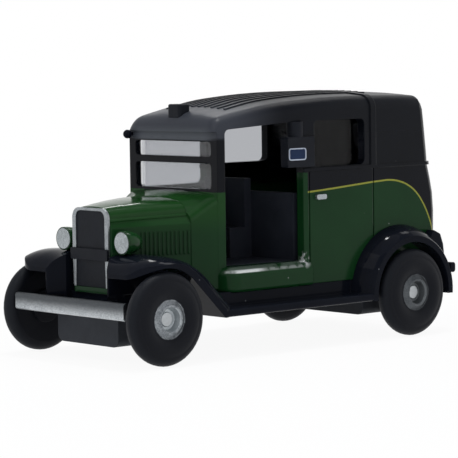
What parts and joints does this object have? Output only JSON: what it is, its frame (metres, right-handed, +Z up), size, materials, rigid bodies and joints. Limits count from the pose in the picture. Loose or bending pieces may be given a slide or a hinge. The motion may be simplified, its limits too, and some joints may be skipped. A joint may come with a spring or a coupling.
{
  "type": "toy taxi cab",
  "caption": "Small die-cast toy of a vintage taxi cab with an open luggage platform, a roof sign and wheels that roll on two axles.",
  "frame": {"origin": "on the ground under the middle of the overall length and width", "axes": "+X to the front of the car, +Y to its left, the kerb side with the luggage platform, +Z up"},
  "size_m": [0.0263, 0.0122, 0.0146],
  "materials": {
    "body_paint": "gloss two-tone paint, green below the waist and black above",
    "wing_black": "gloss black paint",
    "base_black": "matte black",
    "rivet_metal": "dull metal",
    "clear": "clear moulding",
    "interior_black": "matte black",
    "radiator_silver": "silver paint",
    "grille_black": "satin black",
    "plate_black": "satin black, blank",
    "bumper_silver": "silver paint",
    "rear_bumper_black": "gloss black",
    "sign_black": "gloss black, blank",
    "meter_black": "satin black",
    "mirror_black": "gloss black",
    "axle_steel": "bright steel",
    "lamp_paint": "gloss green paint",
    "lens_silver": "silver paint",
    "handle_silver": "silver paint",
    "wheel_black": "matte black with a silver hub"
  },
  "bodies": {
    "car": {"body_casting": "body_paint", "wing_unit": "wing_black", "baseplate": "base_black", "front_rivet": "rivet_metal", "rear_rivet": "rivet_metal", "glazing": "clear", "interior": "interior_black", "steering_wheel": "interior_black", "radiator_shell": "radiator_silver", "radiator_grille": "grille_black", "number_plate": "plate_black", "front_bumper": "bumper_silver", "rear_bumper": "rear_bumper_black", "roof_sign": "sign_black", "taximeter": "meter_black", "screen_mirror": "mirror_black", "headlamp_left": "lamp_paint", "headlamp_right": "lamp_paint", "headlamp_lens_left": "lens_silver", "headlamp_lens_right": "lens_silver", "door_handle_left": "handle_silver", "door_handle_right": "handle_silver"},
    "front_axle_set": {"front_axle": "axle_steel", "front_wheel_left": "wheel_black", "front_wheel_right": "wheel_black"},
    "rear_axle_set": {"rear_axle": "axle_steel", "rear_wheel_left": "wheel_black", "rear_wheel_right": "wheel_black"}
  },
  "joints": [
    {"name": "front_axle_turn", "type": "hinge", "parent": "car", "child": "front_axle_set", "pos_m": [0.01068, 0, 0.00258], "axis": [0, 1, 0], "continuous": true},
    {"name": "rear_axle_turn", "type": "hinge", "parent": "car", "child": "rear_axle_set", "pos_m": [-0.00852, 0, 0.00258], "axis": [0, 1, 0], "continuous": true}
  ]
}
